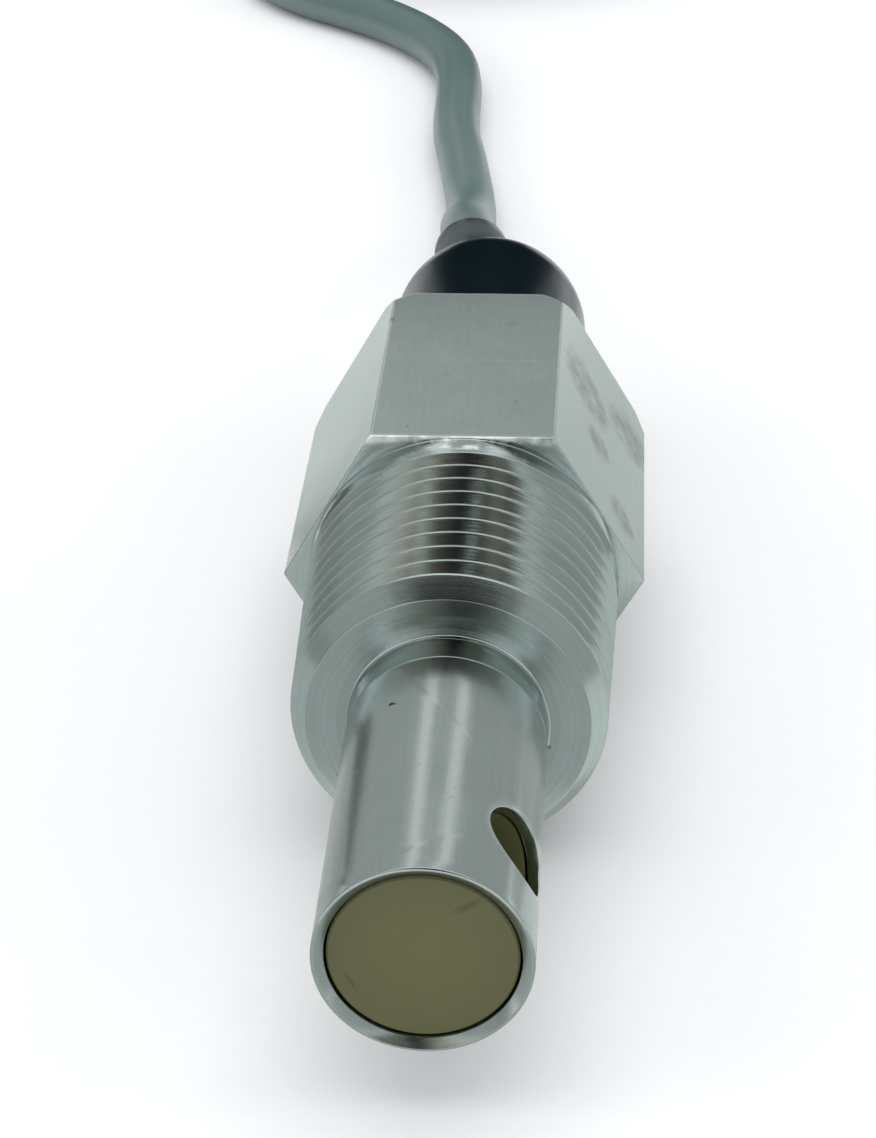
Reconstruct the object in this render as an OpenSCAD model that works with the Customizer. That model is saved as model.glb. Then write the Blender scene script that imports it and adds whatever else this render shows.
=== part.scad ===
// Screw-in contacting conductivity sensor with a tapered pipe thread, lying on a flat of its hexagon.
// Lengths called "at" or "from the tip" are measured along the sensor's axis from the open end of the tube.

/* [Shield tube] */
// Outer diameter of the tube and of the body's neck
tube_d = 13.1; // [12.5:0.1:14]
// Inner diameter of the tube
tube_bore = 11.6; // [11.4:0.1:11.8]
// Length of the tube, from the tip to its joint with the body
tube_l = 23.4; // [22:0.1:25]
// Diameter of the flow passage across the tube
passage_d = 5.7; // [4.5:0.1:6.5]
// Distance of the passage's axis from the tip
passage_at = 7; // [6:0.1:8]
// Turn of the passage away from straight up
passage_turn = 60; // [0:5:90]

/* [Pipe thread] */
// Distance of the thread's front face from the tip
face_at = 25.8; // [25:0.1:27]
// Outer edge of the flat front face
face_d = 18.8; // [18:0.1:19.5]
// Crest diameter where the front chamfer ends
crest_front_d = 20.92; // [20.5:0.01:21.2]
// Distance between two crests
thread_pitch = 1.814; // [1.65:0.002:1.86]
// Depth of the grooves between the crests
thread_depth = 1.15; // [0.6:0.05:1.4]
// Number of grooves
groove_count = 9; // [6:1:9]
// Length from the front face to the hexagon
thread_l = 19.6; // [19.4:0.1:22]

/* [Hexagon] */
// Size across the flats
across_flats = 22.2; // [22.2:0.1:24]
// Length of the hexagon
hex_l = 24.5; // [22:0.5:28]

/* [Boot] */
// Diameter of the rubber boot behind the hexagon
boot_d = 15.8; // [15.2:0.1:17]
// Length of its straight part
boot_straight_l = 17; // [15:0.5:20]
// Diameter of the collar round the cable, at its end
collar_d = 5.7; // [5.5:0.1:7]
// Reach of the collar from the centre of the dome
collar_reach = 16; // [14:0.5:18]
// Sideways lean of the dome and its collar
boot_lean = 8; // [0:1:12]

/* [Cable] */
// Diameter of the jacket
cable_d = 4.9; // [4.5:0.1:4.9]
// Diameter of an insulated lead
lead_d = 1.2; // [1:0.1:1.2]

/* [Hidden] */
$fn = 64;

// Colours
steel = [0.62, 0.64, 0.62];
bright_steel = [0.72, 0.74, 0.73];
holder_olive = [0.42, 0.41, 0.29];
rubber_black = [0.12, 0.14, 0.15];
cable_grey = [0.42, 0.47, 0.45];

// Overlap that lets a cut pass clean through a surface, and how far a longer cut or join runs on
clear = 0.1;
past = 1;

// Places along the axis, from the tip
hex_at = face_at + thread_l;
hex_end = hex_at + hex_l;
spigot_l = 4;
spigot_at = tube_l - spigot_l;
chamfer_l = 1.4;
groove_half_w = 0.8;
root_half_w = 0.06;
first_crest_l = 0.1;
groove_at = face_at + chamfer_l + first_crest_l + groove_half_w;
land_l = 1.6;
cavity_at = 38;
dome_at = hex_end + boot_straight_l;

// Radii
tube_r = tube_d / 2;
bore_r = tube_bore / 2;
neck_fillet = 0.25;
edge_break = 0.1;
tip_break = 0.15;
rim_w = 0.22;
rim_bevel_l = 0.4;
spigot_chamfer = 0.3;
land_step = 0.1;
land_r = across_flats / 2 - land_step;
stem_bore_r = 4;
cavity_r = 7;
corner_r = across_flats / sqrt(3);
corner_cut_r = across_flats / 2 + 0.95;
corner_angle = 60;

// Electrode holder
head_front = 0.45;
head_gap = 0.15;
head_break = 0.12;
head_r = bore_r - head_gap;
gasket_l = 0.4;
head_end = spigot_at - gasket_l;
stem_r = 3.9;
stem_end = 45;
groove_r = 3.05;
groove_w = 1.4;
stem_grooves = [25, 29];
tip_groove_at = 2.3;
tip_groove_w = 1.3;
tip_groove_r = 4.75;
passage_r = passage_d / 2;

// Electrodes, temperature element and their wires, all a little off the axis
pin_offset = 2;
electrode_head_r = 1;
electrode_head_l = 2.5;
wire_r = lead_d / 2;
pin_end = 48;
temperature_lead_at = 52;
element_r = 0.75;
element_at = 13;
element_end = 23;
fine_wire_r = 0.3;
fine_wire_offset = 0.4;
fine_bend_at = stem_end + 1.2;
fine_bend_end = stem_end + 5;
splice_r = 1;
splice_reach = 2;
potting_at = 54.5;
potting_end = 62;
jacket_at = 76;
core_at = 75;
gather_at = 70;
core_offset = 1.2;

// Locating pin between the holder and the body
key_r = 0.5;
key_offset = 4.75;
key_depth = 1.5;

// Nut that pulls the holder's stem into the body
washer_l = 1.2;
washer_r = cavity_r - 0.7;
nut_l = 4;
nut_across_flats = 12;

// Boot
boot_r = boot_d / 2;
bead_at = 64.4;
bead_l = 1.8;
bead_h = 0.45;
bead_r = cavity_r + bead_h;
pocket_r = 3.3;
crimp_at = 78;
crimp_end = 84;
cable_r = cable_d / 2;
collar_r = collar_d / 2;
collar_root_r = 3.1;
root_fillet = 2;
fillet_sink = 0.15;
lip_taper = 0.1;
lip_l = 0.5;
cable_slack = 0.15;

// Whole object without its cable, centred on its length
overall_l = dome_at + collar_reach * cos(boot_lean) + collar_r * sin(boot_lean);
tip_y = -overall_l / 2;
axis_z = across_flats / 2;

// Long coil of spare cable: its turns run round a line along Y from the near centre
coil_centre = [-7.2, 185];
coil_run = 35;
coil_inner_r = 12.3;
coil_outer_r = 29.7;
coil_h = 24.9;
lead_rise = 0.7;
lead_spread = 0.9;
coil_step = 7.5;
tie_t = 0.6;
tie_angle = 14;
tie_left_at = 100;
tie_right_at = 45;

// Route of the cable on the surface the sensor lies on, from inside the boot to the coil
cable_route = [
    [0, 24.5, 11.1], [0, 30, 11.1], [0, 35, 11.1], [-0.8, 41, 11.1], [-1.5, 46, 11.1], [-2.2, 51, 11.1],
    [-2.8, 56, 10.6], [-3.2, 61, 9.4], [-3.5, 66, 7.7], [-3.6, 71, 5.8], [-3.7, 76, 4.1], [-3.9, 81, 2.9],
    [-4.3, 86, 2.5], [-4.9, 91, 2.45], [-5.6, 96.5, 2.45], [-6.4, 102, 2.45], [-6.8, 108, 2.45],
    [-6.9, 114, 2.45], [-7.2, 119.5, 2.45], [-8, 125, 2.45], [-9.8, 130, 2.45], [-12.8, 135, 2.45],
    [-17, 140, 2.45], [-21.8, 144.2, 2.45], [-26.8, 148.4, 2.45], [-30.7, 153.2, 2.45], [-33.2, 158.8, 2.5],
    [-34.3, 165, 2.6], [-34.45, 172, 2.8], [-34.45, 179, 3], [-34.45, 185, 3.05]];

// Route of the cable from the last turn of the coil up to its bare end on top
tail_route = [
    [7.1, 181.3, 23.05], [4.1, 175.5, 23.9], [-1, 171.6, 24.7], [-7.2, 170.25, 25.5], [-13.4, 171.6, 26.3],
    [-18.7, 175.4, 27.2], [-21.8, 179.7, 27.8], [-23.4, 185, 28.3], [-24.4, 190, 28.45], [-25, 195, 28.45],
    [-25.2, 200, 28.45], [-25.2, 206, 28.45]];

// Routes of the four leads from the sleeve down to the top of the coil
white_route = [[-24.3, 206, 29.15], [-24.3, 207.5, 29.15], [-23.4, 211, 28.7], [-22, 216, 27.7],
    [-20.6, 221, 26.7], [-19.6, 226, 26.2], [-18.8, 231, 26.1]];
black_route = [[-26.1, 206, 29.15], [-26.1, 207.5, 29.15], [-26.8, 211, 28.7], [-28, 216, 27.7],
    [-29.2, 221, 26.7], [-30.2, 226, 26.2], [-31, 231, 26.1]];
green_route = [[-24.3, 206, 27.75], [-24.3, 207.5, 27.75], [-24.1, 212, 27.1], [-23.6, 217, 26.4],
    [-23.3, 222, 26.1], [-23.1, 227, 26.1], [-22.9, 232, 26.1]];
red_route = [[-26.1, 206, 27.75], [-26.1, 207.5, 27.75], [-26.2, 212, 27.1], [-26.6, 217, 26.4],
    [-26.8, 222, 26.1], [-26.9, 227, 26.1], [-27, 232, 26.1]];
tinned_r = 0.45;
tinned_l = 5;
sleeve_t = 0.5;
sleeve_l = 12;

// Radius of the thread's crest at a distance from the tip, growing one in thirty-two
function crest_r(at) = crest_front_d / 2 + (at - face_at - chamfer_l) / 32;

// Unit vector, path direction at a point, and the ring of points round it
function unit(v) = v / norm(v);
function heading(path, i) = unit(path[min(i + 1, len(path) - 1)] - path[max(i - 1, 0)]);
function ring(path, i, r, sides, aside) =
    let (along = heading(path, i), side = unit(cross(aside, along)), up = cross(along, side))
    [for (k = [0 : sides - 1]) path[i] + r * (cos(360 * k / sides) * side + sin(360 * k / sides) * up)];

// Puts a form that was turned about Z, with its length along Z, on the sensor's axis
module on_axis() {
    translate([0, tip_y, axis_z])
        rotate([-90, 0, 0])
            children();
}

// Turns about the axis so that X points along the flow passage
module along_passage() {
    rotate([0, 0, passage_turn - 90])
        children();
}

// Ring or tube between two places on the axis
module sleeve(from, to, outer_r, inner_r) {
    translate([0, 0, from])
        difference() {
            cylinder(h = to - from, r = outer_r);
            translate([0, 0, -clear])
                cylinder(h = to - from + 2 * clear, r = inner_r);
        }
}

// Plain rod between two places on the axis
module rod(from, to, r) {
    translate([0, 0, from])
        cylinder(h = to - from, r = r);
}

// Flow passage, long enough to cut the tube and the holder
module passage() {
    translate([0, 0, passage_at])
        along_passage()
            rotate([0, 90, 0])
                cylinder(h = 2 * tube_d, r = passage_r, center = true);
}

// O-ring that fills the space between a groove and a bore
module o_ring(at, inner_r, outer_r) {
    translate([0, 0, at])
        rotate_extrude()
            translate([(inner_r + outer_r) / 2, 0])
                circle(r = (outer_r - inner_r) / 2, $fn = 32);
}

// Tube swept along a path that never runs parallel to aside, one polyhedron with flat ends
module swept_tube(path, r, sides, aside = [0, 0, 1]) {
    count = len(path);
    rings = [for (i = [0 : count - 1]) each ring(path, i, r, sides, aside)];
    walls = [for (i = [0 : count - 2], k = [0 : sides - 1])
        let (a = i * sides + k, b = i * sides + (k + 1) % sides) [a, a + sides, b + sides, b]];
    start = [for (k = [0 : sides - 1]) k];
    end = [for (k = [sides - 1 : -1 : 0]) (count - 1) * sides + k];
    polyhedron(points = rings, faces = concat([start, end], walls), convexity = 6);
}

// Turned outline of the front of the body: spigot, neck, front face, chamfer, ridges and land
module body_front_profile() {
    grooves = [for (i = [0 : groove_count - 1])
        let (at = groove_at + i * thread_pitch)
        each [[crest_r(at - groove_half_w), at - groove_half_w],
            [crest_r(at) - thread_depth, at - root_half_w],
            [crest_r(at) - thread_depth, at + root_half_w],
            [crest_r(at + groove_half_w), at + groove_half_w]]];
    polygon(concat(
        [[0, spigot_at], [bore_r - spigot_chamfer, spigot_at], [bore_r, spigot_at + spigot_chamfer],
            [bore_r, tube_l],
            [tube_r - edge_break, tube_l], [tube_r, tube_l + edge_break],
            [tube_r, face_at - neck_fillet]],
        [for (a = [30, 60, 90])
            [tube_r + neck_fillet * (1 - cos(a)), face_at - neck_fillet * (1 - sin(a))]],
        [[face_d / 2, face_at], [crest_r(face_at + chamfer_l), face_at + chamfer_l]],
        grooves,
        [[land_r, hex_at - land_l], [land_r, hex_at + past], [0, hex_at + past]]));
}

// Hexagon with its rear corners turned off
module hexagon() {
    slope = tan(corner_angle);
    rear_corner = hex_end - (corner_r - corner_cut_r) * slope;
    intersection() {
        translate([0, 0, hex_at])
            linear_extrude(height = hex_l)
                circle(r = corner_r, $fn = 6);
        rotate_extrude()
            polygon([[0, hex_at], [corner_r + past, hex_at], [corner_r + past, rear_corner - past * slope],
                [corner_cut_r, hex_end], [0, hex_end]]);
    }
}

module body() {
    color(steel) on_axis() difference() {
        union() {
            rotate_extrude()
                body_front_profile();
            hexagon();
        }
        rod(spigot_at - past, cavity_at + past, stem_bore_r);
        rod(cavity_at, hex_end + past, cavity_r);
        rod(bead_at, bead_at + bead_l, bead_r);
        along_passage()
            translate([0, key_offset, 0])
                rod(spigot_at - past, spigot_at + key_depth, key_r);
    }
}

module shield_tube() {
    color(bright_steel) on_axis() difference() {
        rotate_extrude()
            polygon([[bore_r, rim_bevel_l], [tube_r - rim_w, 0],
                [tube_r - tip_break, 0], [tube_r, tip_break],
                [tube_r, tube_l - edge_break], [tube_r - edge_break, tube_l], [bore_r, tube_l]]);
        passage();
    }
}

module electrode_holder() {
    color(holder_olive) on_axis() difference() {
        union() {
            rotate_extrude()
                polygon([[0, head_front], [head_r - head_break, head_front],
                    [head_r, head_front + head_break], [head_r, head_end], [0, head_end]]);
            rod(head_end - past, stem_end, stem_r);
        }
        passage();
        translate([0, 0, tip_groove_at])
            sleeve(-tip_groove_w / 2, tip_groove_w / 2, head_r + past, tip_groove_r);
        for (at = stem_grooves)
            sleeve(at - groove_w / 2, at + groove_w / 2, stem_r + past, groove_r);
        along_passage() {
            for (side = [-1, 1])
                translate([side * pin_offset, 0, 0]) {
                    rod(passage_at, passage_at + passage_r + electrode_head_l, electrode_head_r);
                    rod(passage_at, stem_end + past, wire_r);
                }
            translate([0, key_offset, 0])
                rod(head_end - key_depth, head_end + past, key_r);
        }
        rod(element_at, stem_end + past, element_r);
    }
}

// Electrode stud, its head cut flush with the wall of the passage
module electrode(side) {
    color("silver") on_axis() difference() {
        along_passage()
            translate([side * pin_offset, 0, 0]) {
                rod(passage_at, passage_at + passage_r + electrode_head_l, electrode_head_r);
                rod(passage_at + passage_r, pin_end, wire_r);
            }
        passage();
    }
}

module drive_electrode() {
    electrode(1);
}

module sense_electrode() {
    electrode(-1);
}

module temperature_sensor() {
    color("gainsboro") on_axis() along_passage() {
        rod(element_at, element_end, element_r);
        for (side = [-1, 1])
            swept_tube([[0, side * fine_wire_offset, element_end - past],
                [0, side * fine_wire_offset, fine_bend_at], [0, side * pin_offset, fine_bend_end],
                [0, side * pin_offset, temperature_lead_at]], fine_wire_r, 6, [1, 0, 0]);
    }
}

module tip_o_ring() {
    color(rubber_black) on_axis()
        o_ring(tip_groove_at, tip_groove_r, bore_r);
}

module stem_o_ring_front() {
    color(rubber_black) on_axis()
        o_ring(stem_grooves[0], groove_r, stem_bore_r);
}

module stem_o_ring_rear() {
    color(rubber_black) on_axis()
        o_ring(stem_grooves[1], groove_r, stem_bore_r);
}

module holder_gasket() {
    color("white") on_axis() difference() {
        sleeve(head_end, spigot_at, bore_r - spigot_chamfer, stem_bore_r);
        along_passage()
            translate([0, key_offset, 0])
                rod(head_end - past, spigot_at + past, key_r);
    }
}

module locating_pin() {
    color("silver") on_axis() along_passage()
        translate([0, key_offset, 0])
            rod(head_end - key_depth, spigot_at + key_depth, key_r);
}

module nut_washer() {
    color("silver") on_axis()
        sleeve(cavity_at, cavity_at + washer_l, washer_r, stem_r);
}

module holder_nut() {
    color("goldenrod") on_axis() difference() {
        translate([0, 0, cavity_at + washer_l])
            cylinder(h = nut_l, r = nut_across_flats / sqrt(3), $fn = 6);
        rod(cavity_at, stem_end + past, stem_r);
    }
}

module splice_sleeves() {
    color("black") on_axis() along_passage()
        for (side = [-1, 1]) {
            translate([side * pin_offset, 0, 0])
                sleeve(pin_end - splice_reach, pin_end + 2 * splice_reach, splice_r, wire_r);
            translate([0, side * pin_offset, 0])
                sleeve(temperature_lead_at - splice_reach, temperature_lead_at + splice_reach,
                    splice_r, wire_r);
        }
}

// Insulated lead from its joint, straight back through the potting and into the end of the cable
module inner_lead(angle, from) {
    on_axis() along_passage() rotate([0, 0, angle])
        swept_tube([[pin_offset, 0, from], [pin_offset, 0, gather_at], [core_offset, 0, core_at],
            [core_offset, 0, jacket_at]], wire_r, 8, [0, 1, 0]);
}

module drive_lead() {
    color("white") inner_lead(0, pin_end);
}

module sense_lead() {
    color("black") inner_lead(180, pin_end);
}

module temperature_lead_a() {
    color("green") inner_lead(90, temperature_lead_at);
}

module temperature_lead_b() {
    color("red") inner_lead(270, temperature_lead_at);
}

module potting() {
    color("dimgray") on_axis() difference() {
        rod(potting_at, potting_end, cavity_r);
        along_passage()
            for (angle = [0 : 90 : 270])
                rotate([0, 0, angle])
                    translate([pin_offset, 0, 0])
                        rod(potting_at - past, potting_end + past, wire_r);
    }
}

module cable_crimp() {
    color("goldenrod") on_axis()
        sleeve(crimp_at, crimp_end, pocket_r, cable_r);
}

// Turned outline of the boot's straight part and its dome, from the tip
module boot_profile() {
    polygon(concat(
        [[0, potting_end], [cavity_r, potting_end], [cavity_r, bead_at], [bead_r, bead_at],
            [bead_r, bead_at + bead_l], [cavity_r, bead_at + bead_l], [cavity_r, hex_end],
            [boot_r, hex_end], [boot_r, dome_at]],
        [for (a = [80 : -10 : 10]) [boot_r * sin(a), dome_at + boot_r * cos(a)]],
        [[0, dome_at + boot_r]]));
}

// Turned outline of the collar and the fillet at its root, lengths from the dome's centre
module collar_profile() {
    // The fillet ends a little inside the dome, so that the two surfaces cross
    inner_r = boot_r - fillet_sink;
    // Angle from the axis at which the fillet leaves the dome
    root_angle = asin((collar_root_r + root_fillet) / (inner_r + root_fillet));
    fillet_at = (inner_r + root_fillet) * cos(root_angle);
    polygon(concat(
        [[0, past], [inner_r * sin(root_angle), past]],
        [for (i = [0 : 5])
            let (a = root_angle + i * (90 - root_angle) / 5)
            [collar_root_r + root_fillet * (1 - sin(a)), fillet_at - root_fillet * cos(a)]],
        [[collar_r + lip_taper, collar_reach - lip_l], [collar_r - lip_taper, collar_reach],
            [0, collar_reach]]));
}

// Turns about the dome's centre, as the cable pulls the collar
module leaning() {
    translate([0, 0, dome_at])
        rotate([0, -boot_lean, 0])
            children();
}

module cable_boot() {
    color(rubber_black) on_axis() difference() {
        union() {
            rotate_extrude()
                boot_profile();
            leaning()
                rotate_extrude()
                    collar_profile();
        }
        rod(potting_end - past, crimp_end, pocket_r);
        rod(crimp_end - past, dome_at + past / 2, cable_r + cable_slack);
        leaning()
            rod(-past / 2, collar_reach + past, cable_r);
    }
}

module cable() {
    color(cable_grey)
        swept_tube(cable_route, cable_r, 10);
}

// Outline at a distance from the coil's middle line
module coil_outline(r) {
    polygon(concat(
        [for (a = [0 : coil_step : 180]) [r * cos(a), coil_run + r * sin(a)]],
        [for (a = [180 : coil_step : 360]) [r * cos(a), r * sin(a)]]));
}

module cable_coil() {
    color(cable_grey)
        translate([coil_centre[0], coil_centre[1], tie_t])
            linear_extrude(height = coil_h)
                difference() {
                    coil_outline(coil_outer_r);
                    coil_outline(coil_inner_r);
                }
}

// Strap round the coil's section, bent with its far end
module coil_tie(angle) {
    color("black")
        translate([coil_centre[0], coil_centre[1] + coil_run, 0])
            rotate([0, 0, angle - tie_angle / 2])
                rotate_extrude(angle = tie_angle)
                    difference() {
                        translate([coil_inner_r - tie_t, 0])
                            square([coil_outer_r - coil_inner_r + 2 * tie_t, coil_h + 2 * tie_t]);
                        translate([coil_inner_r, tie_t])
                            square([coil_outer_r - coil_inner_r, coil_h]);
                    }
}

module coil_tie_left() {
    coil_tie(tie_left_at);
}

module coil_tie_right() {
    coil_tie(tie_right_at);
}

module cable_tail() {
    color(cable_grey)
        swept_tube(tail_route, cable_r, 10);
}

module end_sleeve() {
    last = tail_route[len(tail_route) - 1];
    color("black")
        translate([last[0], last[1] + sleeve_t, last[2]])
            rotate([90, 0, 0])
                difference() {
                    cylinder(h = sleeve_l, r = cable_r + sleeve_t);
                    translate([0, 0, sleeve_t])
                        cylinder(h = sleeve_l, r = cable_r);
                    for (x = [-lead_spread, lead_spread], z = [-lead_rise, lead_rise])
                        translate([x, z, -past])
                            cylinder(h = 2 * past, r = wire_r);
                }
}

module white_lead() {
    color("white")
        swept_tube(white_route, wire_r, 8);
}

module black_lead() {
    color([0.1, 0.1, 0.1])
        swept_tube(black_route, wire_r, 8);
}

module green_lead() {
    color("green")
        swept_tube(green_route, wire_r, 8);
}

module red_lead() {
    color("red")
        swept_tube(red_route, wire_r, 8);
}

module tinned_ends() {
    color("silver")
        for (route = [white_route, black_route, green_route, red_route]) {
            last = route[len(route) - 1];
            step = last - route[len(route) - 2];
            translate(last)
                rotate([0, 90, atan2(step[1], step[0])])
                    cylinder(h = tinned_l, r = tinned_r);
        }
}

body();
shield_tube();
electrode_holder();
drive_electrode();
sense_electrode();
temperature_sensor();
tip_o_ring();
stem_o_ring_front();
stem_o_ring_rear();
holder_gasket();
locating_pin();
nut_washer();
holder_nut();
splice_sleeves();
drive_lead();
sense_lead();
temperature_lead_a();
temperature_lead_b();
potting();
cable_crimp();
cable_boot();
cable();
cable_coil();
coil_tie_left();
coil_tie_right();
cable_tail();
end_sleeve();
white_lead();
black_lead();
green_lead();
red_lead();
tinned_ends();
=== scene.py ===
"""Screw-in conductivity sensor with its cable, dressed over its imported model."""

import bmesh
import bpy
import numpy as np
from bpy.props import FloatProperty, FloatVectorProperty, PointerProperty
from bpy.types import Operator, Panel, PropertyGroup
from mathutils import Matrix


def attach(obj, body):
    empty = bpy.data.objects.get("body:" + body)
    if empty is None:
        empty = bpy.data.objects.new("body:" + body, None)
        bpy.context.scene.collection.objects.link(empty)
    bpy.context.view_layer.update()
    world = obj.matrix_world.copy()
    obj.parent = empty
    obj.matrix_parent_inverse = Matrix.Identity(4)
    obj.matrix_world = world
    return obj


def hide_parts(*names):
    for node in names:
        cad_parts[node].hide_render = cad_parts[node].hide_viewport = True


bl_info = {
    "name": "Conductivity sensor",
    "version": (1, 0, 0),
    "blender": (4, 5, 0),
    "location": "View3D > Sidebar > Sensor",
    "description": "Builds a screw-in conductivity sensor, its coiled cable and a small studio",
    "category": "Add Mesh",
}

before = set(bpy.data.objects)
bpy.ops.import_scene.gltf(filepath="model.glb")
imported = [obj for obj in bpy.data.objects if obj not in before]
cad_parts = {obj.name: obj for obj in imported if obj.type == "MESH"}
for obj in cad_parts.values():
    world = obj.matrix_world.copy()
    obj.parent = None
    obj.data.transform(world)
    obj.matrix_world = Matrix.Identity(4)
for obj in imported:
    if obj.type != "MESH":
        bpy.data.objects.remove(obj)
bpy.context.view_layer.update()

# The tip and the axis in the frame, in millimetres
TIP_Y = -51.57
AXIS_Z = 11.1

# Places along the axis in millimetres from the tip, as in the part's source
PASSAGE_AT = 7.0
SPIGOT_AT = 19.4
TUBE_END = 23.4
FACE_AT = 25.8
CREST_AT = 27.3
CAVITY_AT = 38
LAND_AT = 43.8
HEX_AT = 45.4
HEX_END = 69.9
DOME_AT = 86.9

# Radii of the hexagon's turned rear corners and of its cavity, and the cavity's groove for the boot's bead
CORNER_CUT = 12.05
CAVITY = 7
BEAD_GROOVE = [(64.4, CAVITY), (64.4, 7.45), (66.2, 7.45), (66.2, CAVITY)]

# The coil's turns run round a straight line between two places along Y, in millimetres in the frame
COIL_X = -7.2
COIL_NEAR = 185
COIL_FAR = 220
LAYER_HEIGHT = 5.0

# The camera's turns in radians, its place in metres and its lens in millimetres
CAMERA_AZIMUTH, CAMERA_DIP, CAMERA_ROLL = -0.0672, 0.5082, -0.0151
CAMERA_PLACE = (0.010688, -0.191839, 0.115406)
CAMERA_LENS = 95.13

# Columns of every turned surface: close together at the six corners of the hexagon
CORNER_STEPS = np.array([-0.56, -0.37, -0.19, 0.0, 0.19, 0.37, 0.56])
SEXTANT = np.concatenate([np.linspace(-30, -0.75, 20), CORNER_STEPS, np.linspace(0.75, 30, 20, endpoint=False)])
PROGRESS = np.concatenate([(SEXTANT + 30 + 60 * k) / 360 for k in range(6)])
ROUND = np.linspace(0, 1, 96, endpoint=False)

# Turns of the thread, and the rows of points across one groove, as shares of the pitch
THREAD_TURNS = 9
ACROSS_GROOVE = np.array([0, 0.03, 0.055, 0.075, 0.1, 0.2, 0.32, 0.42, 0.455, 0.475, 0.5, 0.525, 0.545, 0.58, 0.68,
                          0.8, 0.9, 0.925, 0.945, 0.97])

# The cable's way from inside the boot to its coil, in metres
CABLE_ROUTE = [
    (0, 0.0245, 0.0111), (0, 0.03, 0.0111), (0, 0.035, 0.0111), (-0.0008, 0.041, 0.0111),
    (-0.0015, 0.046, 0.0111), (-0.0022, 0.051, 0.0111), (-0.0028, 0.056, 0.0106), (-0.0032, 0.061, 0.0094),
    (-0.0035, 0.066, 0.0077), (-0.0036, 0.071, 0.0058), (-0.0037, 0.076, 0.0041), (-0.0039, 0.081, 0.0029),
    (-0.0043, 0.086, 0.0025), (-0.0049, 0.091, 0.00245), (-0.0056, 0.0965, 0.00245), (-0.0064, 0.102, 0.00245),
    (-0.0068, 0.108, 0.00245), (-0.0069, 0.114, 0.00245), (-0.0072, 0.1195, 0.00245), (-0.008, 0.125, 0.00245),
    (-0.0098, 0.13, 0.00245), (-0.0128, 0.135, 0.00245), (-0.017, 0.14, 0.00245), (-0.0218, 0.1442, 0.00245),
    (-0.0268, 0.1484, 0.00245), (-0.0307, 0.1532, 0.00245), (-0.0332, 0.1588, 0.0025), (-0.0343, 0.165, 0.0026),
    (-0.03445, 0.172, 0.0028), (-0.03445, 0.179, 0.003), (-0.03445, 0.185, 0.00305),
]

# Its way from the last turn up to the sleeve at its end
TAIL_ROUTE = [
    (0.0071, 0.1813, 0.02305), (0.0041, 0.1755, 0.0239), (-0.001, 0.1716, 0.0247), (-0.0072, 0.17025, 0.0255),
    (-0.0134, 0.1716, 0.0263), (-0.0187, 0.1754, 0.0272), (-0.0218, 0.1797, 0.0278), (-0.0234, 0.185, 0.0283),
    (-0.0244, 0.19, 0.02845), (-0.025, 0.195, 0.02845), (-0.0252, 0.2, 0.02845), (-0.0252, 0.206, 0.02845),
]

# The four leads from the sleeve to the top of the coil: how far along and how high each pair goes from point to
# point, then how far across each lead goes there, and its colour
UPPER_PAIR = [(0.206, 0.02915), (0.2075, 0.02915), (0.211, 0.0287), (0.216, 0.0277), (0.221, 0.0267),
              (0.226, 0.0262), (0.231, 0.0261)]
LOWER_PAIR = [(0.206, 0.02775), (0.2075, 0.02775), (0.212, 0.0271), (0.217, 0.0264), (0.222, 0.0261),
              (0.227, 0.0261), (0.232, 0.0261)]
LEADS = {
    "white": (UPPER_PAIR, (-0.0243, -0.0243, -0.0234, -0.022, -0.0206, -0.0196, -0.0188), (0.72, 0.71, 0.67)),
    "black": (UPPER_PAIR, (-0.0261, -0.0261, -0.0268, -0.028, -0.0292, -0.0302, -0.031), (0.015, 0.015, 0.016)),
    "green": (LOWER_PAIR, (-0.0243, -0.0243, -0.0241, -0.0236, -0.0233, -0.0231, -0.0229), (0.02, 0.16, 0.05)),
    "red": (LOWER_PAIR, (-0.0261, -0.0261, -0.0262, -0.0266, -0.0268, -0.0269, -0.027), (0.36, 0.02, 0.015)),
}

# Tint of the cards' painted reflections
REFLECTION_TINT = (0.95, 1.0, 0.985)
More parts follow.
